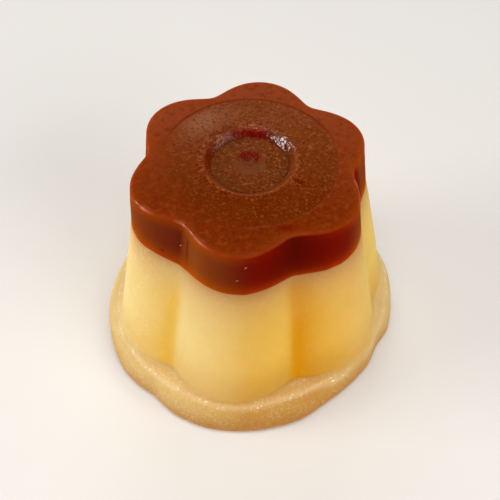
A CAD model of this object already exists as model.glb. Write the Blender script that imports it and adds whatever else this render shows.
"""A caramel pudding turned out of a fluted cup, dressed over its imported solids."""
import math

import bpy
import numpy as np
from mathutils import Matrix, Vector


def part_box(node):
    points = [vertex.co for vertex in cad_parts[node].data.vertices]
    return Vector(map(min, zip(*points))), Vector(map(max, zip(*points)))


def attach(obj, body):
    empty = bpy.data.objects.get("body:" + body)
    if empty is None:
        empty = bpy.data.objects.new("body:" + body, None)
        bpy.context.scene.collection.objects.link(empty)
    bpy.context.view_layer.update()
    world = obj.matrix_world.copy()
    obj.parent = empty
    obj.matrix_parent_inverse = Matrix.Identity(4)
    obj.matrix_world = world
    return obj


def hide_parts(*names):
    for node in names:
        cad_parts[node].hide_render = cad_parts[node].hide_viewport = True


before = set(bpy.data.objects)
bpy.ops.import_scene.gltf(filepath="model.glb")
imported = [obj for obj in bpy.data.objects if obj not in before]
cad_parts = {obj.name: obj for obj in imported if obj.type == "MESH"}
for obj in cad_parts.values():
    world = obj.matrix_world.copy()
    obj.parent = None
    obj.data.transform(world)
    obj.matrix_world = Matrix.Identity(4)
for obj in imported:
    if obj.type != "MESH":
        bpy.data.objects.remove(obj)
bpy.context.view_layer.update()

# ---------------------------------------------------------------------------
# The custard: eggs, milk and sugar set in a fluted cup and turned out.
# The cup's wall leaves six rounded lobes with narrow valleys between them, and
# its wide mouth leaves a rounded skirt, which the soft custard spreads a little.
# ---------------------------------------------------------------------------

MM = 0.001
COLUMNS = 480
ANGLES = np.arange(COLUMNS) * 2 * np.pi / COLUMNS

LINE_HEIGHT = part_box("custard")[1].z / MM
TOP_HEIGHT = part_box("caramel")[1].z / MM
CREASE_HEIGHT = 9.3
SKIRT_RADIUS = 33.9
FOOT_RADIUS = 31.8
BELLY_HEIGHT = 1.3

# How square the skirt's rounding is below a lobe, and how much squarer it is below a valley.
SKIRT_SQUARENESS = 1.8
VALLEY_SQUARENESS = 0.7

LOBES = 6
FIRST_LOBE = math.radians(22.5)
# The wall at the crease, the caramel line and the top: its height, its radius in a valley and how far a lobe
# stands out from that, all in mm, and how soft the valley is.
WALL_HEIGHTS = (CREASE_HEIGHT, LINE_HEIGHT, TOP_HEIGHT)
VALLEY_RADII = (28.0, 22.7, 20.7)
LOBE_DEPTHS = (3.6, 2.8, 3.8)
VALLEY_SOFTNESS = (0.12, 0.45, 0.34)

# Slow waves of the spread custard: waves round, rise in mm, angle of the first crest.
SKIRT_SLUMP = ((1, 0.7, 68), (2, 0.9, 38), (3, 0.45, 13), (4, 0.5, 7))
WALL_SLUMP = ((1, 0.8, 42), (2, 0.5, 26), (3, 0.52, 6))

# Shallow dents in the skirt's edge and one slight bulge: angle, depth in mm, half width in degrees.
SKIRT_DENTS = (
    (213, -0.2, 6),
    (229.5, 0.8, 6.5),
    (276, 0.5, 11),
    (304, 0.35, 7),
    (340, 1.0, 7.5),
    (362, 0.3, 8),
)

# How far the caramel line wanders up and down in mm, slowly and quickly.
SLOW_WANDER = 0.22
QUICK_WANDER = 0.15

# How many rings make each stretch, from the underside up.
DISC_ROWS = 5
FOOT_ROWS = 6
SKIRT_ROWS = 52
WALL_ROWS = 118
DISC_SHARES = np.linspace(0.15, 0.97, DISC_ROWS)[:, None]


def eased(values, low, high):
    """0 at low and 1 at high, eased between and held beyond. Low may be the larger."""
    share = np.clip((values - low) / (high - low), 0, 1)
    return share * share * (3 - 2 * share)


def bell(distance, half_width):
    """1 at no distance and less on both sides: e to minus the square of the distance in half widths."""
    return np.exp(-((distance / half_width) ** 2))


def steps(start, end, count):
    """That many even steps from the start, stopping one step before the end."""
    return np.linspace(start, end, count + 1)[:-1]


def turn_between(angle, at):
    """The turn from one angle in degrees to the other angles, in degrees from -180 to 180."""
    return (np.degrees(angle) - at + 180) % 360 - 180


def bell_turn(angle, at, half_width):
    """A bell over the turn from an angle, with its half width in degrees."""
    return bell(turn_between(angle, at), half_width)


def eased_turn(angle, at, low, high):
    """The size of the turn from an angle, eased from 0 at low degrees to 1 at high."""
    return eased(np.abs(turn_between(angle, at)), low, high)


def share_at(angle, angles, shares):
    """Straight between the shares at a few angles in degrees, closing on itself round the pudding."""
    return np.interp(np.degrees(angle), angles, shares, period=360)


def petal(angle, softness):
    """0 in a valley and 1 on a lobe's crest: the rounded size of a cosine that swings once for two lobes."""
    swing = np.cos(LOBES / 2 * (angle - FIRST_LOBE))
    most = np.hypot(1, softness)
    return (np.hypot(swing, softness) - softness) / (most - softness)


def slump(waves, angle):
    """The sum of the waves, each a cosine of its count times the angle from its crest."""
    return sum(rise * np.cos(count * (angle - math.radians(crest))) for count, rise, crest in waves)


def wall_radius(angle, height):
    """Valley radius plus lobe depth times petal, each straight between three heights, plus the slump."""
    valley = np.interp(height, WALL_HEIGHTS, VALLEY_RADII)
    depth = np.interp(height, WALL_HEIGHTS, LOBE_DEPTHS)
    softness = np.interp(height, WALL_HEIGHTS, VALLEY_SOFTNESS)
    spread = np.interp(height, (CREASE_HEIGHT, TOP_HEIGHT), (1, 0))
    return valley + depth * petal(angle, softness) + spread * slump(WALL_SLUMP, angle)


def belly_radius(angle):
    """The skirt's widest radius: its mean, the slow slump and the shallow dents where it has sagged."""
    dents = sum(depth * bell_turn(angle, at, wide) for at, depth, wide in SKIRT_DENTS)
    return SKIRT_RADIUS + slump(SKIRT_SLUMP, angle) - dents


def lattice_noise(first, second, seed, period=None):
    """Smooth noise from -1 to 1: random heights on a unit lattice, eased between its corners.
    With a period, the first direction closes on itself after that many cells."""
    size = 256
    heights = np.random.default_rng(seed).uniform(-1, 1, (size, size))
    low_first, low_second = np.floor(first).astype(int), np.floor(second).astype(int)
    wrap = period or size
    ease_first, ease_second = first - low_first, second - low_second
    ease_first = ease_first * ease_first * (3 - 2 * ease_first)
    ease_second = ease_second * ease_second * (3 - 2 * ease_second)

    def corner(step_first, step_second):
        return heights[(low_first + step_first) % wrap, (low_second + step_second) % size]

    near = corner(0, 0) * (1 - ease_first) + corner(1, 0) * ease_first
    far = corner(0, 1) * (1 - ease_first) + corner(1, 1) * ease_first
    return near * (1 - ease_second) + far * ease_second


def noise_round(share_round, cells, across, seed):
    """Lattice noise that closes on itself round the pudding after that many cells."""
    return lattice_noise(share_round * cells, across, seed, cells)


def line_wander(angle):
    """The caramel line's small rise and fall in mm: slow and quick waves of lattice noise round it."""
    share_round = angle / (2 * np.pi)
    middle_cell = share_round * 0 + 0.5
    slow = noise_round(share_round, 14, middle_cell, 3)
    quick = noise_round(share_round, 90, middle_cell, 4)
    return SLOW_WANDER * slow + QUICK_WANDER * quick


def custard_rings():
    """Rings from the foot's middle: out along the flat foot, round the belly, over the skirt by a squarish
    quarter ellipse, squarer below a valley, up the fluted wall to the caramel line, and in again under the
    caramel."""
    angle = ANGLES[None, :]
    belly = belly_radius(angle)
    foot = belly - (SKIRT_RADIUS - FOOT_RADIUS)
    rings = [(DISC_SHARES * foot, 0 * DISC_SHARES * foot)]

    turn = steps(0, np.pi / 2, FOOT_ROWS)[:, None]
    rings.append((
        foot + (belly - foot) * np.sin(turn),
        BELLY_HEIGHT * (1 - np.cos(turn)) + 0 * foot,
    ))

    turn = steps(0, np.pi / 2, SKIRT_ROWS)[:, None]
    squareness = SKIRT_SQUARENESS + VALLEY_SQUARENESS * (1 - petal(angle, 0.5))
    out = np.cos(turn) ** (2 / squareness)
    up = np.sin(turn) ** (2 / squareness)
    crease = wall_radius(angle, CREASE_HEIGHT)
    rings.append((
        crease + (belly - crease) * out,
        BELLY_HEIGHT + (CREASE_HEIGHT - BELLY_HEIGHT) * up + 0 * belly,
    ))

    share = np.linspace(0, 1, WALL_ROWS)[:, None]
    line = LINE_HEIGHT + line_wander(angle)
    height = CREASE_HEIGHT + (line - CREASE_HEIGHT) * share
    rings.append((wall_radius(angle, height), height))

    rings.append((rings[-1][0][-1:] * DISC_SHARES[::-1], line + 0 * DISC_SHARES))
    radius = np.concatenate([ring[0] for ring in rings])
    height = np.concatenate([ring[1] for ring in rings])
    return radius, height


def soften(values, weight, passes):
    """Each row drawn towards the mean of the rows beside it, by its weight, and again for each pass."""
    for _ in range(passes):
        beside = (np.roll(values, 1, 0) + np.roll(values, -1, 0)) / 2
        values = values + weight * (beside - values) * 0.5
    return values


radius, height = custard_rings()
row_number = np.arange(len(radius))[:, None]
belly_row = DISC_ROWS + FOOT_ROWS
crease_row = belly_row + SKIRT_ROWS

# The crease is crisp in front and melts into a wide fillet at the sides and behind.
crisp = eased_turn(ANGLES, 268, 62, 34)
above_belly = np.clip((row_number - belly_row) / 8, 0, 1)
near_crease = bell(row_number - crease_row, 9.0) * above_belly
round_crease = bell(row_number - crease_row, 30.0) * above_belly
radius = crisp * soften(radius, near_crease, 10) + (1 - crisp) * soften(radius, round_crease, 130)
height = crisp * soften(height, near_crease, 10) + (1 - crisp) * soften(height, round_crease, 130)

# The wall swells and ripples a little, and the skirt more, but not at the foot or the caramel line.
share_round = np.broadcast_to(ANGLES / (2 * np.pi), radius.shape)
above_foot = np.clip(height / 1.2, 0, 1)
below_line = np.clip((LINE_HEIGHT - height) / 3, 0, 1)
below_wall = 1 - np.clip((height - CREASE_HEIGHT + 1.5) / 2.5, 0, 1)
swell = noise_round(share_round, 26, height / 7, 11)
ripple = noise_round(share_round, 96, height / 2.1, 12)
swell_depth = 0.10 + 0.10 * below_wall
ripple_depth = 0.015 + 0.045 * below_wall
radius = radius + (swell_depth * swell + ripple_depth * ripple) * above_foot * below_line

custard_x = radius * np.cos(ANGLES)
custard_y = radius * np.sin(ANGLES)
centre_x = (custard_x.max() + custard_x.min()) / 2
centre_y = (custard_y.max() + custard_y.min()) / 2

# The angle of the lobe that faces the front.
FRONT_LOBE = 262.5
# How golden the custard is round the wall: angles, and a share from 0, pale, to 1.
RIPE_ANGLES = (20, 95, 165, 246, 253, 263, 270, 280, 303, 308, 315, 322, 332)
RIPE_SHARES = (0.4, 0.6, 0.0, 0.05, 0.14, 0.42, 0.8, 0.92, 1.0, 0.94, 0.85, 0.8, 0.85)


def valley_tint(angle, height):
    """How deep the colour is beside a valley: it starts sharply on the side of the front lobe, and fades
    slowly up the flank of the next lobe. On the left it leans further round lower down, and it fades out
    near the caramel. It is weaker at the far right."""
    spacing = 360 / LOBES
    beside = (np.degrees(angle) - math.degrees(FIRST_LOBE)) % spacing - spacing / 2
    valley_angle = np.degrees(angle) - beside
    on_right = np.sin(np.radians(valley_angle - FRONT_LOBE)) > 0
    beside = beside * np.where(on_right, 1, -1) - np.where(on_right, 0, 1.8 * eased(height, 34, 14))
    share = eased(beside, -5.5, 0.5) * np.exp(-np.clip(beside - 3.0, 0, None) / 8.5)
    share = share * np.where(on_right, 1, eased(height, 41, 30))
    return share * (1 - 0.6 * eased_turn(angle, 354, 26, 12))


# The wall ripens downwards, mostly in front. The skirt is ripest in front and pale at the right.
ripe_round = share_at(ANGLES, RIPE_ANGLES, RIPE_SHARES)
wall_ripe = ripe_round * (0.82 + 0.18 * eased(height, 38, 24))
wall_ripe = wall_ripe + (0.03 + 0.11 * eased_turn(ANGLES, 270, 62, 30)) * eased(height, 24, 10)
skirt_ripe = 0.9 * ripe_round + 0.25 * bell_turn(ANGLES, 262, 15) - 0.5 * bell_turn(ANGLES, 352, 17)

# The skirt's crest follows a smoother arc than the lobes, with a shelf between it and the crease.
blend_rows = 2.5 + 6 * (1 - crisp)
on_skirt = eased(row_number, crease_row + blend_rows, crease_row - blend_rows)
below_crease = eased(row_number, crease_row + 2, crease_row - 3)
crest_radius = 31.2 + 1.2 * petal(ANGLES, 0.6) + slump(WALL_SLUMP, ANGLES)
crest_width = 0.62 - 0.22 * petal(ANGLES, 0.5)
on_crest = below_crease * bell(radius - crest_radius, crest_width) * eased(height, 5.5, 7.5)
on_shelf = below_crease * eased(radius, crest_radius + 0.8, crest_radius - 0.6)

fields = {
    "valley": valley_tint(ANGLES, height) * (1 - on_skirt),
    "ripe": np.clip(np.where(on_skirt > 0.5, skirt_ripe, wall_ripe), 0, 1),
    "skirt": on_skirt,
    "crest": on_crest * (0.6 + 0.4 * crisp),
    "shelf": on_shelf * on_skirt * (1 - 0.6 * petal(ANGLES, 0.5)),
    "under_line": np.exp(-np.clip(LINE_HEIGHT - height, 0, None) / 4.8),
    "low_wall": (1 - on_skirt) * eased(height, 22, 9.3),
    "tan": bell_turn(ANGLES, 332, 16),
    "foot": on_skirt * eased(height, 8.5, 0.5),
    "coarse": np.maximum(
        0.2 + 0.8 * bell_turn(ANGLES, 206, 18),
        on_skirt * (0.35 + 0.65 * eased_turn(ANGLES, 245, 90, 55)),
    ),
}


def closed_shell(name, x, y, z, fields):
    """A closed mesh from a grid of rings, given outwards from the underside's middle and in again to the
    top's middle: each ring joins the next by quads, and each end ring is drawn to its own middle point.
    fields are values from 0 to 1 for each grid point, kept as attributes for the material."""
    rows, columns = z.shape
    grid = np.stack([x, y, z], axis=-1).reshape(-1, 3)
    ends = np.stack([grid[:columns].mean(0), grid[-columns:].mean(0)])
    points = np.concatenate([grid, ends]) * MM
    column = np.arange(columns)
    after = (column + 1) % columns
    row = np.arange(rows - 1)[:, None] * columns
    quads = np.stack([row + column, row + after, row + after + columns, row + column + columns], axis=-1)
    under_point, top_point = rows * columns, rows * columns + 1
    last = (rows - 1) * columns
    under = np.stack([np.full(columns, under_point), after, column], axis=-1)
    top = np.stack([np.full(columns, top_point), last + column, last + after], axis=-1)
    corners = np.concatenate([quads.reshape(-1), under.reshape(-1), top.reshape(-1)])
    sides = np.concatenate([np.full(quads.size // 4, 4), np.full(2 * columns, 3)])
    starts = np.concatenate([[0], np.cumsum(sides)[:-1]])

    mesh = bpy.data.meshes.new(name)
    mesh.vertices.add(len(points))
    mesh.vertices.foreach_set("co", points.astype(np.float32).reshape(-1))
    mesh.loops.add(len(corners))
    mesh.loops.foreach_set("vertex_index", corners.astype(np.int32))
    mesh.polygons.add(len(sides))
    mesh.polygons.foreach_set("loop_start", starts.astype(np.int32))
    mesh.polygons.foreach_set("use_smooth", np.ones(len(sides), bool))
    for field, values in fields.items():
        flat = np.broadcast_to(values, z.shape).reshape(-1)
        flat = np.concatenate([flat, [flat[:columns].mean(), flat[-columns:].mean()]])
        attribute = mesh.attributes.new(field, "FLOAT", "POINT")
        attribute.data.foreach_set("value", flat.astype(np.float32))
    mesh.update(calc_edges=True)
    mesh.validate()
    piece = bpy.data.objects.new(name, mesh)
    bpy.context.scene.collection.objects.link(piece)
    return piece


custard = closed_shell("custard_body", custard_x - centre_x, custard_y - centre_y, height, fields)


def srgb(red, green, blue):
    """A colour given as a screen shows it, from 0 to 255, as the shader's linear colour."""
    shares = np.array([red, green, blue]) / 255
    linear = np.where(shares <= 0.04045, shares / 12.92, ((shares + 0.055) / 1.055) ** 2.4)
    return (*linear.tolist(), 1.0)


class Value:
    """A number that changes over a surface. Arithmetic on it adds Math nodes to its finish."""

    def __init__(self, finish, socket):
        self.finish = finish
        self.socket = socket

    def math(self, operation, first, second):
        """A Math node of that operation on two numbers, either of which may change over the surface."""
        return self.finish.add("ShaderNodeMath", {"operation": operation}, {0: first, 1: second})

    def __add__(self, other):
        return self.math("ADD", self, other)

    __radd__ = __add__

    def __rsub__(self, other):
        return self.math("SUBTRACT", other, self)

    def __mul__(self, other):
        return self.math("MULTIPLY", self, other)

    __rmul__ = __mul__

    def between(self, low, high):
        """0 at low and 1 at high, eased between and held beyond. Low may be the larger."""
        return self.finish.add(
            "ShaderNodeMapRange",
            {"interpolation_type": "SMOOTHSTEP"},
            {"Value": self, "From Min": low, "From Max": high},
        )


class Finish:
    """A new material and its nodes."""

    def __init__(self, name, constants):
        self.material = bpy.data.materials.new(name)
        self.material.use_nodes = True
        self.nodes = self.material.node_tree.nodes
        self.links = self.material.node_tree.links
        self.shader = self.nodes["Principled BSDF"]
        for socket, value in constants.items():
            self.shader.inputs[socket].default_value = value
        self.place = self.add("ShaderNodeTexCoord", {}, {}, "Object")

    def feed(self, socket, value):
        """Links the socket to what changes over the surface, or sets it to a plain value."""
        if isinstance(value, Value):
            self.links.new(value.socket, socket)
        else:
            socket.default_value = value

    def vary(self, values):
        """Feeds sockets of the shader itself, by name."""
        for socket, value in values.items():
            self.feed(self.shader.inputs[socket], value)

    def add(self, kind, settings, inputs, output=0):
        """A node of that kind, its settings made first and then its sockets fed by values or links."""
        node = self.nodes.new(kind)
        for setting, value in settings.items():
            setattr(node, setting, value)
        for socket, value in inputs.items():
            self.feed(node.inputs[socket], value)
        return Value(self, node.outputs[output])

    def field(self, name):
        """An attribute of the mesh."""
        return self.add("ShaderNodeAttribute", {"attribute_name": name}, {}, "Fac")

    def noise(self, size, detail=2.0, roughness=0.5):
        """Noise from 0 to 1 with features of about this size in mm."""
        return self.add(
            "ShaderNodeTexNoise",
            {},
            {"Vector": self.place, "Scale": 1 / (size * MM), "Detail": detail, "Roughness": roughness},
        )

    def tint(self, under, over, share):
        """The under colour, turned to the over colour by share."""
        return self.add(
            "ShaderNodeMix",
            {"data_type": "RGBA", "clamp_factor": True},
            {0: share, 6: under, 7: over},
            2,
        )

    def washes(self, under, *colours_and_shares):
        """The under colour with other colours laid over it in turn, each with its share."""
        for over, share in colours_and_shares:
            under = self.tint(under, over, share)
        return under

    def emboss(self, height, depth, below=None):
        """A bump of that depth in mm, over another one."""
        inputs = {"Height": height, "Distance": depth * MM}
        if below is not None:
            inputs["Normal"] = below
        return self.add("ShaderNodeBump", {}, inputs)


finish = Finish("custard_finish", {
    "Subsurface Weight": 1.0,
    "Subsurface Radius": (1.0, 0.6, 0.25),
    "Subsurface Scale": 0.003,
    "Specular IOR Level": 0.0,
    "Coat Roughness": 0.14,
})
ripe = finish.field("ripe")
skirt = finish.field("skirt")
crest = finish.field("crest")
foot = finish.field("foot")
coarse = finish.field("coarse")
mottle = finish.noise(8.0, 3.0).between(0.35, 0.65)
cloud = finish.noise(2.6, 3.0).between(0.3, 0.7)
grain = finish.noise(0.55, 3.0, 0.55)
glint = finish.noise(0.6, 1.0)

# Each part of the custard goes from pale to golden as it ripens.
wall = finish.tint(srgb(232, 202, 131), srgb(237, 184, 66), ripe)
low_wall = finish.tint(srgb(218, 177, 110), srgb(205, 149, 60), ripe)
in_valley = finish.tint(srgb(231, 184, 78), srgb(228, 154, 2), ripe)
rounding = finish.tint(srgb(214, 184, 119), srgb(202, 147, 64), ripe)
low_rounding = finish.tint(srgb(170, 117, 68), srgb(168, 107, 44), ripe)
wall = finish.washes(
    wall,
    (low_wall, finish.field("low_wall") * 0.85),
    (srgb(222, 171, 100), finish.field("tan") * 0.5),
    (in_valley, finish.field("valley")),
    (srgb(177, 123, 80), finish.field("under_line") * (0.89 + 0.11 * ripe)),
)
rounding = finish.washes(
    rounding,
    (srgb(226, 194, 134), finish.field("shelf") * (0.6 - 0.1 * ripe)),
    (low_rounding, foot),
    (srgb(227, 198, 148), crest * (0.85 - 0.3 * ripe)),
)
colour = finish.washes(
    finish.tint(wall, rounding, skirt),
    (srgb(246, 214, 140), mottle * 0.08),
    (srgb(206, 150, 78), (1 - cloud) * (0.05 + 0.09 * skirt)),
    (srgb(252, 222, 160), grain.between(0.48, 0.72) * coarse * (0.08 + 0.34 * cloud)),
    (srgb(172, 112, 56), grain.between(0.46, 0.26) * skirt * (0.05 + 0.3 * foot)),
    (srgb(255, 240, 208), glint.between(0.6, 0.66) * crest * cloud),
)
bumps = finish.emboss(finish.noise(2.4), 0.06)
finish.vary({
    "Base Color": colour,
    "Roughness": 0.42 + 0.16 * grain,
    "Coat Weight": 0.02 + 0.05 * skirt + 0.22 * crest,
    "Normal": finish.emboss(grain * coarse, 0.05, bumps),
})
custard.data.materials.append(finish.material)

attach(custard, "root")
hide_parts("custard")

# ---------------------------------------------------------------------------
# The caramel: burnt sugar jelly poured in first, so it ends up on top.
# It is clear and dark, glossy where it touched the smooth wall and grainy where
# it touched the cup's floor, which printed a fine ring, a recess and a dimple.
# ---------------------------------------------------------------------------

FOOT_ROUNDING = 0.3
EDGE_ROUNDING = 0.7
RING_RADIUS = 17.95
RING_SLOPE = 0.5
RING_STEP = 0.2
LIP_RADIUS = 9.0
RECESS_FLOOR_RADIUS = 8.1
RECESS_DEPTH = 1.7
DIMPLE_RADIUS = 3.4
DIMPLE_DEPTH = 1.0
# The print sits a little behind the axis, and the dimple a little more.
PRINT_SETBACK = 0.6
DIMPLE_SETBACK = 1.35

# How many rings make each stretch, from the underside up and in over the top.
LOW_EDGE_ROWS = 5
SIDE_ROWS = 36
TOP_EDGE_ROWS = 10
RIM_ROWS = 26
RING_STEP_ROWS = 9
LAND_ROWS = 31
RECESS_WALL_ROWS = 25
RECESS_FLOOR_ROWS = 19
DIMPLE_ROWS = 16


def front_share(angle):
    """1 in front of the recess, where its wall leans back most, and 0 behind it."""
    return eased_turn(angle, 275, 95, 50)


def print_depth(radius, angle):
    """How far the cup's floor pressed below the top, by radius: an eased step at the fine ring, crisp behind
    and at the right but faint at the left front, and a sloping wall with an eased lip and foot."""
    crisp = 0.15 + 0.7 * eased_turn(angle, 215, 45, 85)
    ring = RING_STEP * crisp * eased(radius, RING_RADIUS + RING_SLOPE / 2, RING_RADIUS - RING_SLOPE / 2)
    ring = ring + RING_STEP * (1 - crisp) * eased(radius, RING_RADIUS + 3, LIP_RADIUS + 1)
    front = front_share(angle)
    lip = LIP_RADIUS + 0.35 + 0.15 * front
    wall = np.clip((lip - radius) / (lip - RECESS_FLOOR_RADIUS + 0.4 * front), 0, 1)
    steepest = 0.65 - 0.45 * front
    return ring + RECESS_DEPTH * ((1 - steepest) * wall + steepest * eased(wall, 0, 1))


def caramel_rings():
    """Rings from the underside's middle: out under the layer, round its lower edge, up the fluted wall,
    over the rounded top edge, and in across the printed top to the dimple's middle. Each has a radius, a
    height and how far its middle sits behind the axis."""
    angle = ANGLES[None, :]
    line = LINE_HEIGHT + line_wander(angle)
    low = wall_radius(angle, line + FOOT_ROUNDING)
    rings = [(DISC_SHARES * (low - FOOT_ROUNDING), line + 0 * DISC_SHARES, 0 * DISC_SHARES * low)]

    turn = steps(0, np.pi / 2, LOW_EDGE_ROWS)[:, None]
    rings.append((
        low - FOOT_ROUNDING * (1 - np.sin(turn)),
        line + FOOT_ROUNDING * (1 - np.cos(turn)),
        0 * turn * low,
    ))

    shoulder = TOP_HEIGHT - EDGE_ROUNDING
    share = steps(0, 1, SIDE_ROWS)[:, None]
    height = line + FOOT_ROUNDING + (shoulder - line - FOOT_ROUNDING) * share
    rings.append((wall_radius(angle, height), height, 0 * height))

    turn = np.linspace(0, np.pi / 2, TOP_EDGE_ROWS)[:, None]
    edge = wall_radius(angle, shoulder)
    rings.append((
        edge - EDGE_ROUNDING * (1 - np.cos(turn)),
        shoulder + EDGE_ROUNDING * np.sin(turn) + 0 * edge,
        0 * turn * edge,
    ))

    # The rings stand closer together at the fine ring and down the recess's wall.
    step_outside, step_inside = RING_RADIUS + 0.6, RING_RADIUS - 0.6
    wall_top, wall_foot = LIP_RADIUS + 0.7, RECESS_FLOOR_RADIUS - 0.3
    share = steps(0, 1, RIM_ROWS + 1)[1:, None]
    inner = edge - EDGE_ROUNDING
    across = inner + (step_outside - inner) * share
    rings.append((across, TOP_HEIGHT + 0 * across, PRINT_SETBACK * share + 0 * across))

    radii = np.concatenate([
        steps(step_outside, step_inside, RING_STEP_ROWS),
        steps(step_inside, wall_top, LAND_ROWS),
        steps(wall_top, wall_foot, RECESS_WALL_ROWS),
        steps(wall_foot, DIMPLE_RADIUS, RECESS_FLOOR_ROWS),
    ])[:, None]
    to_dimple = np.clip((wall_foot - radii) / 4.6, 0, 1)
    rings.append((
        radii + 0 * angle,
        TOP_HEIGHT - print_depth(radii, angle),
        PRINT_SETBACK + (DIMPLE_SETBACK - PRINT_SETBACK) * to_dimple + 0 * angle,
    ))

    radii = np.linspace(DIMPLE_RADIUS, 0.12, DIMPLE_ROWS)[:, None]
    floor = TOP_HEIGHT - RING_STEP - RECESS_DEPTH
    bowl = DIMPLE_DEPTH * (1 + np.cos(np.pi * radii / DIMPLE_RADIUS)) / 2
    rings.append((radii + 0 * angle, floor - bowl + 0 * angle, DIMPLE_SETBACK + 0 * radii * angle))
    return tuple(np.concatenate([ring[part] for ring in rings]) for part in range(3))


def noise_over(x, y, cell, shift, seed):
    """Lattice noise over the top with cells of that size in mm, moved along by that many cells."""
    return lattice_noise(x / cell + shift, y / cell + shift, seed)


radius, height, setback = caramel_rings()
x = radius * np.cos(ANGLES)
y = radius * np.sin(ANGLES) + setback
share_round = np.broadcast_to(ANGLES / (2 * np.pi), radius.shape)
middle_cell = np.full_like(radius, 0.5)
row_number = np.arange(len(radius))[:, None]
side_row = DISC_ROWS + LOW_EDGE_ROWS
edge_row = side_row + SIDE_ROWS
on_side = (row_number >= side_row) & (row_number < edge_row + 4)
on_edge = (row_number > edge_row - 2) & (row_number < edge_row + 12)
on_upper = row_number >= edge_row
on_top = row_number >= edge_row + TOP_EDGE_ROWS

# Small pits left by bubbles in the side: angle, height and radius in mm.
PITS = (
    (268.5, 48.9, 0.22),
    (264.75, 45.4, 0.2),
    (232.5, 46.4, 0.24),
    (234.8, 47.6, 0.2),
    (223.0, 43.3, 0.36),
    (306.0, 45.0, 0.22),
    (328.0, 47.5, 0.24),
    (24.0, 46.0, 0.32),
    (81.0, 48.0, 0.26),
    (148.0, 45.5, 0.34),
)
pits = (row_number < edge_row) * sum(
    bell(np.hypot(np.radians(turn_between(ANGLES, at)) * radius, height - pit_height), size)
    for at, pit_height, size in PITS
)

# The side swells and ripples a little. The top is slightly uneven, with a fine grain.
swell = noise_round(share_round, 24, height / 6, 21)
ripple = noise_round(share_round, 110, height / 1.6, 22)
relief = 0.07 * swell + 0.02 * ripple - 0.22 * pits
stretch = np.where(on_side, 1 + relief / radius, 1.0)
x, y = x * stretch, y * stretch
uneven = noise_over(x, y, 5, 40, 23)
grain_relief = noise_over(x, y, 0.42, 90, 24)
in_print = eased(radius, RING_RADIUS + 0.4, RING_RADIUS - 0.4)
in_recess = eased(radius, LIP_RADIUS + 0.3, LIP_RADIUS - 0.5)
grain_depth = 0.004 + 0.012 * in_print + 0.02 * in_recess
height = height + np.where(on_top, 0.05 * uneven + grain_depth * grain_relief, 0)

# The recess's wall has fine uneven ridges down it, and its lip is rough.
on_recess_wall = bell(radius - (LIP_RADIUS + RECESS_FLOOR_RADIUS) / 2, 0.5) * on_top
on_lip = bell(radius - LIP_RADIUS - 0.5, 0.5) * on_top
ridges = noise_round(share_round, 180, radius / 0.45, 25)
ridges = ridges + 0.6 * noise_round(share_round, 90, radius / 0.8, 26)
height = height + (0.1 * on_recess_wall + 0.05 * on_lip) * ridges

# How deep red and how amber the side is: angles, and a share for each.
DEEP_ANGLES = (0, 25, 60, 120, 175, 259, 275, 312, 328, 347, 351, 355)
DEEP_SHARES = (0.1, 0.3, 0.4, 0.5, 0.0, 0.0, 1.0, 1.0, 0.05, 0.0, 0.85, 0.85)
AMBER_ANGLES = (0, 60, 150, 205, 214, 226, 231, 235, 240, 244, 251, 262, 270, 318, 329, 345, 352)
AMBER_SHARES = (0.8, 0.2, 0.5, 0.75, 0.45, 0.15, 0.1, 0.6, 0.85, 0.95, 0.6, 0.3, 0.0, 0.0, 0.6, 0.95, 0.3)
# How glossy the recess's wall is.
GLOSS_ANGLES = (14, 22, 66, 76, 112, 124, 146, 156)
GLOSS_SHARES = (0.0, 1.0, 1.0, 0.06, 0.0, 0.1, 0.1, 0.0)
# Where the top edge glints: angle, half width in degrees.
EDGE_GLINTS = ((209, 6), (240, 8), (345, 9))


def round_patch(at, half_width, middle_radius, half_depth):
    """A soft patch on the printed top, at an angle and a radius from the print's middle: the product of a
    bell round it and a bell across it."""
    return bell_turn(ANGLES, at, half_width) * bell(radius - middle_radius, half_depth) * on_top


# The side is darker between its edges, and the light comes through at its lower edge.
side_share = np.where(on_top, 0.0, eased(TOP_HEIGHT - height, 0.0, EDGE_ROUNDING))
above_line = np.clip(height - LINE_HEIGHT - line_wander(ANGLES), 0, None)
middle = eased(above_line, 0.4, 4.5) * eased(TOP_HEIGHT - height, 0.4, 3.2)
streaks = 0.9 * bell_turn(ANGLES, 231.8, 1.7)
streaks = streaks + 0.9 * bell_turn(ANGLES, 237.5, 0.9) * eased(height, 50.5, 48.5)

# The top edge is wet in broken stretches, and glints in dashes at a few places.
edge_wet = bell(TOP_HEIGHT - 0.25 - height, 0.2) * on_edge
broken = eased(noise_round(share_round, 64, middle_cell, 29), -0.2, 0.5)
dashes = eased(noise_round(share_round, 110, middle_cell, 30), -0.05, 0.3)
glint_places = sum(bell_turn(ANGLES, at, wide) for at, wide in EDGE_GLINTS)
from_edge = wall_radius(ANGLES, TOP_HEIGHT) - radius
flow = noise_round(share_round, 22, from_edge / 0.4, 27)

# The dimple's far slope is deep red, and so are a thin place near the front and a bruise by the recess.
from_dimple = np.hypot(x, y - DIMPLE_SETBACK)
dimple_wander = 0.45 * noise_over(x, y, 0.7, 20, 32)
dimple_far = eased(y - DIMPLE_SETBACK + dimple_wander, 0.3, 1.6) * eased(np.abs(x + 0.1), 2.9, 1.6)
dimple_far = dimple_far * eased(from_dimple + dimple_wander, DIMPLE_RADIUS + 0.3, DIMPLE_RADIUS - 0.5)
thin_land = bell(x - 6.8, 1.7) * bell(y + 17.4, 0.8)
bruise = bell(x - 10.0, 1.4) * bell(y + 5.3, 1.1)

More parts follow.
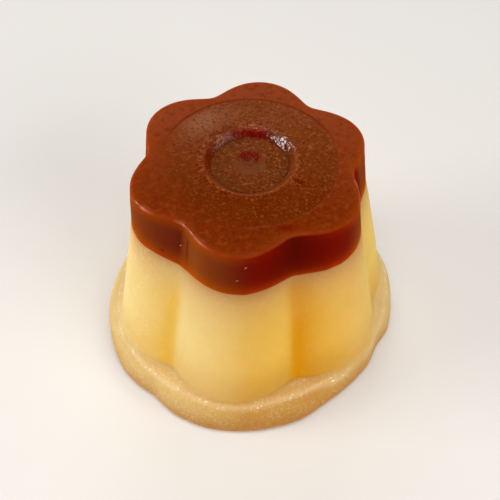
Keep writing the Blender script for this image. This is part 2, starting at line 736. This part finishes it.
# The fine ring parts the grainy print from the glassy rim, sharply but for the left front.
ring_blur = 0.5 + 3.5 * eased_turn(ANGLES, 215, 100, 50)
ring_wander = 0.7 * noise_over(x, y, 1.6, 60, 28) * (ring_blur - 0.5) / 2
outside_ring = eased(radius + ring_wander, RING_RADIUS - ring_blur, RING_RADIUS + 0.5 * ring_blur)
ring_line = bell(radius - RING_RADIUS, 0.16) * on_top
back_half = eased_turn(ANGLES, 90, 80, 55)

# The recess's wall is red behind, paler in front and at the right, and mauve at the back on the left.
front = front_share(ANGLES)
at_red = eased_turn(ANGLES, 87, 32, 18)
at_pale = np.maximum(bell_turn(ANGLES, 0, 26), front)
at_mauve = bell_turn(ANGLES, 134, 15)
granular = 0.35 + 0.65 * eased_turn(ANGLES, 165, 110, 70)

fields = {
    "side": side_share,
    "deep": share_at(ANGLES, DEEP_ANGLES, DEEP_SHARES),
    "amber": share_at(ANGLES, AMBER_ANGLES, AMBER_SHARES),
    "streaks": side_share * streaks,
    "middle": side_share * middle,
    "valley": side_share * (1 - petal(ANGLES, 0.3)),
    "low_edge": side_share * np.exp(-above_line / 0.9),
    "edge_wet": edge_wet * broken,
    "edge_glint": edge_wet * glint_places,
    "edge_dashes": edge_wet * glint_places * dashes,
    "edge_glow": np.exp(-np.clip(from_edge - 0.4, 0, None) / 1.3) * on_upper,
    "far": eased(y + 0.35 * np.abs(x), -12, 20) * on_upper,
    "outside_ring": outside_ring * on_upper,
    "gritty": eased(x, -9, 5),
    "ring_line": ring_line * back_half,
    "ring_light": ring_line * bell_turn(ANGLES, 305, 14),
    "recess": in_recess * on_top,
    "lip": bell(radius - 9.5, 0.4) * on_top * (0.3 * (1 - back_half) + 0.25 * at_pale),
    "recess_wall": np.clip(1.4 * on_recess_wall, 0, 1),
    "wall_gloss": np.clip(1.5 * on_recess_wall + on_lip, 0, 1) * share_at(ANGLES, GLOSS_ANGLES, GLOSS_SHARES),
    "red_wall": at_red,
    "pale_wall": at_pale,
    "mauve_wall": at_mauve,
    "recess_foot": bell(radius - 8.0 + 0.4 * front, 0.22) * on_top * (1 - at_red),
    "dark_lip": round_patch(128, 22, 9.9, 0.4),
    "granular": granular * bell(radius - 10.0, 0.7) * on_top,
    "bruise": bruise * on_top,
    "dimple_far": dimple_far * on_top,
    "dimple": eased(from_dimple, DIMPLE_RADIUS + 0.4, DIMPLE_RADIUS - 0.8) * on_top,
    "bloom": round_patch(133, 20, 14.6, 3.2),
    "thin_land": thin_land * on_top,
    "flow": (0.5 + 0.5 * flow) * on_upper,
    "pits": pits,
    "pit_glint": 0.5 * eased(pits, 0.7, 0.95) * eased_turn(ANGLES, 250, 24, 20),
    "back_lip": on_lip * bell_turn(ANGLES, 84, 15),
}
caramel = closed_shell("caramel_layer", x - centre_x, y - centre_y, height, fields)

finish = Finish("caramel_finish", {
    "Subsurface Weight": 1.0,
    "Subsurface Radius": (1.0, 0.14, 0.04),
    "Subsurface Scale": 0.003,
    "Specular IOR Level": 0.0,
    "Coat IOR": 1.9,
    "Coat Roughness": 0.1,
})
side = finish.field("side")
top = 1 - side
recess = finish.field("recess")
outside = finish.field("outside_ring")
ring_line = finish.field("ring_line")
granular = finish.field("granular")
dimple = finish.field("dimple")
dimple_far = finish.field("dimple_far")
deep = finish.field("deep")
amber = finish.field("amber")
far = finish.field("far")
mottle = finish.noise(6.0, 3.0).between(0.35, 0.65)
cluster = finish.noise(2.2).between(0.36, 0.64)
faint = finish.noise(1.1, 3.0)
grain = finish.noise(0.52, 1.0, 0.4)
sparkle = finish.noise(0.34, 1.0)

# The grain is strongest at the right of the recess's floor. It shows little outside the ring and in the
# dimple.
inside = 1 - outside * 0.8
rough = inside * (1 - 0.7 * dimple)
in_floor = recess * (0.15 + 0.85 * finish.field("gritty"))
on_disc = far * (1 - recess)
speck = grain.between(0.52, 0.72) * (0.2 + 0.4 * cluster + 0.42 * in_floor + 0.15 * on_disc) * rough
hollow = grain.between(0.48, 0.28) * (0.38 + 0.4 * in_floor + 0.3 * on_disc) * rough

# The top: the grainy print, the rim outside its fine ring, and the recess's wall.
printed = finish.washes(
    finish.tint(srgb(115, 43, 3), srgb(109, 38, 2), mottle),
    (srgb(126, 61, 22), far),
    (srgb(114, 56, 18), recess * 0.7),
    (srgb(126, 74, 46), dimple * 0.4),
    (srgb(148, 92, 62), finish.field("bloom") * 0.85),
    (srgb(108, 30, 8), ring_line * 0.8),
    (srgb(150, 76, 28), finish.field("ring_light") * 0.6),
    (srgb(144, 80, 40), finish.field("lip")),
    (srgb(88, 30, 6), finish.field("dark_lip") * 0.5),
    (srgb(106, 22, 5), granular * grain.between(0.5, 0.36) * 0.7),
    (srgb(168, 96, 52), granular * grain.between(0.52, 0.70) * 0.35),
    (srgb(100, 16, 4), finish.field("bruise") * grain.between(0.6, 0.4)),
    (srgb(174, 98, 54), speck * 0.55),
    (srgb(84, 27, 3), hollow * 0.8),
)
rim = finish.washes(
    finish.tint(srgb(122, 42, 4), srgb(116, 39, 3), finish.field("flow").between(0.3, 0.8)),
    (srgb(139, 60, 25), far),
    (srgb(152, 68, 26), faint.between(0.5, 0.75) * 0.6),
    (srgb(100, 26, 4), faint.between(0.48, 0.25) * 0.6),
    (srgb(150, 70, 34), grain.between(0.52, 0.72) * 0.3),
)
mauve = finish.tint(srgb(116, 56, 38), srgb(164, 108, 88), grain.between(0.4, 0.6))
recess_wall = finish.washes(
    finish.tint(srgb(104, 28, 6), srgb(122, 10, 2), finish.field("red_wall")),
    (srgb(117, 51, 16), finish.field("pale_wall")),
    (srgb(156, 84, 44), grain.between(0.52, 0.7) * 0.3),
    (mauve, finish.field("mauve_wall")),
)
face = finish.washes(
    finish.tint(printed, rim, outside),
    (srgb(108, 30, 8), ring_line * 0.6),
    (srgb(150, 62, 12), finish.field("edge_glow") * 0.5),
    (srgb(118, 10, 2), finish.field("thin_land") * 0.8),
    (recess_wall, finish.field("recess_wall")),
    (srgb(80, 20, 3), finish.field("recess_foot") * 0.55),
    (srgb(214, 128, 112), finish.field("back_lip") * sparkle.between(0.52, 0.64) * 0.8),
    (srgb(108, 10, 0), dimple_far * 0.88),
    (srgb(184, 100, 80), dimple_far * sparkle.between(0.6, 0.7) * 0.6),
)

# The side: amber or deep red, darker in its middle and in the front valleys.
middle_wall = finish.washes(
    finish.tint(srgb(97, 26, 13), srgb(128, 61, 17), amber),
    (srgb(115, 11, 1), deep),
    (srgb(90, 20, 5), finish.field("streaks") * 0.85),
)
edge_wall = finish.tint(srgb(126, 43, 4), srgb(142, 66, 8), amber)
edge_wall = finish.tint(edge_wall, srgb(130, 20, 2), deep)
low_edge = finish.tint(srgb(180, 59, 5), srgb(200, 92, 3), amber)
wall = finish.washes(
    finish.tint(edge_wall, middle_wall, finish.field("middle")),
    (srgb(80, 6, 1), finish.field("valley") * deep * 0.8),
    (low_edge, finish.field("low_edge") * (0.7 + 0.3 * deep)),
    (srgb(84, 8, 2), finish.field("pits") * 0.7),
    (srgb(236, 190, 170), finish.field("pit_glint")),
)
colour = finish.washes(
    finish.tint(face, wall, side),
    (srgb(150, 76, 34), finish.field("edge_wet") * 0.25),
    (srgb(222, 142, 112), finish.field("edge_dashes") * 0.6),
)
gloss = 0.01 + 0.02 * inside * top
gloss = gloss + finish.field("edge_glint") * sparkle.between(0.52, 0.6)
gloss = gloss + finish.field("wall_gloss") * sparkle.between(0.4, 0.52)
bumps = finish.emboss(finish.noise(1.6), 0.04)
finish.vary({
    "Base Color": colour,
    "Roughness": 0.5 - 0.2 * side + 0.15 * grain * top,
    "Coat Weight": gloss,
    "Normal": finish.emboss(grain * rough * top, 0.07, bumps),
})
caramel.data.materials.append(finish.material)

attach(caramel, "root")
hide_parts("caramel")

# ---------------------------------------------------------------------------
# The stage: a plain pale floor, and the camera close, high and in front.
# The light is soft: one panel at the left with a small low one for glints, broad
# ones above and at the right, and a weak one behind.
# ---------------------------------------------------------------------------

FLOOR_REACH = 3.0
floor_mesh = bpy.data.meshes.new("floor")
floor_mesh.from_pydata(
    [(across * FLOOR_REACH, back * FLOOR_REACH, 0) for across, back in ((-1, -1), (1, -1), (1, 1), (-1, 1))],
    [],
    [(0, 1, 2, 3)],
)
floor = bpy.data.objects.new("floor", floor_mesh)
bpy.context.scene.collection.objects.link(floor)
floor_finish = Finish("floor_finish", {"Roughness": 0.8, "Base Color": srgb(247, 245, 242)})
floor.data.materials.append(floor_finish.material)

# The lights face a point at this height in metres, about the pudding's middle.
LIT_HEIGHT = 0.03


def soft_light(name, azimuth, elevation, distance, width, height, power, colour):
    """A rectangular area light on a sphere round the pudding, turned to face it."""
    data = bpy.data.lights.new(name, "AREA")
    data.shape = "RECTANGLE"
    data.size = width
    data.size_y = height
    data.energy = power
    data.color = colour
    light = bpy.data.objects.new(name, data)
    turn, rise = math.radians(azimuth), math.radians(elevation)
    light.location = (
        distance * math.cos(rise) * math.cos(turn),
        distance * math.cos(rise) * math.sin(turn),
        distance * math.sin(rise) + LIT_HEIGHT,
    )
    light.rotation_euler = (math.pi / 2 - rise, 0, turn + math.pi / 2)
    bpy.context.scene.collection.objects.link(light)


soft_light("key_left", 188, 17, 0.6, 0.3, 0.3, 1.9, (1.0, 0.98, 0.95))
soft_light("glint_left", 213, 5, 0.6, 0.16, 0.14, 0.3, (1.0, 0.97, 0.95))
soft_light("top_soft", -90, 80, 0.8, 0.5, 0.5, 2.9, (1.0, 0.99, 0.97))
soft_light("back_soft", 94, 36, 0.7, 0.45, 0.16, 0.9, (1.0, 0.95, 0.92))
soft_light("fill_right", 318, 28, 0.8, 0.6, 0.4, 3.1, (1.0, 0.97, 0.93))

world = bpy.data.worlds.new("studio")
world.use_nodes = True
backdrop = world.node_tree.nodes["Background"]
backdrop.inputs["Color"].default_value = (1.0, 0.99, 0.97, 1)
backdrop.inputs["Strength"].default_value = 0.093
bpy.context.scene.world = world
bpy.context.scene.view_settings.view_transform = "Standard"

# The camera's place in metres, its turns in degrees, and its lens and sensor in mm.
CAMERA_PLACE = (-0.000698, -0.1162535, 0.168918)
CAMERA_TURNS = (38.5558, -0.2658, 0.1362)
CAMERA_LENS = 59.2335
CAMERA_SENSOR = 36
camera_data = bpy.data.cameras.new("camera")
camera_data.sensor_width = CAMERA_SENSOR
camera_data.lens = CAMERA_LENS
camera_data.clip_start = 0.01
camera = bpy.data.objects.new("camera", camera_data)
camera.location = CAMERA_PLACE
camera.rotation_euler = [math.radians(turn) for turn in CAMERA_TURNS]
bpy.context.scene.collection.objects.link(camera)
bpy.context.scene.camera = camera
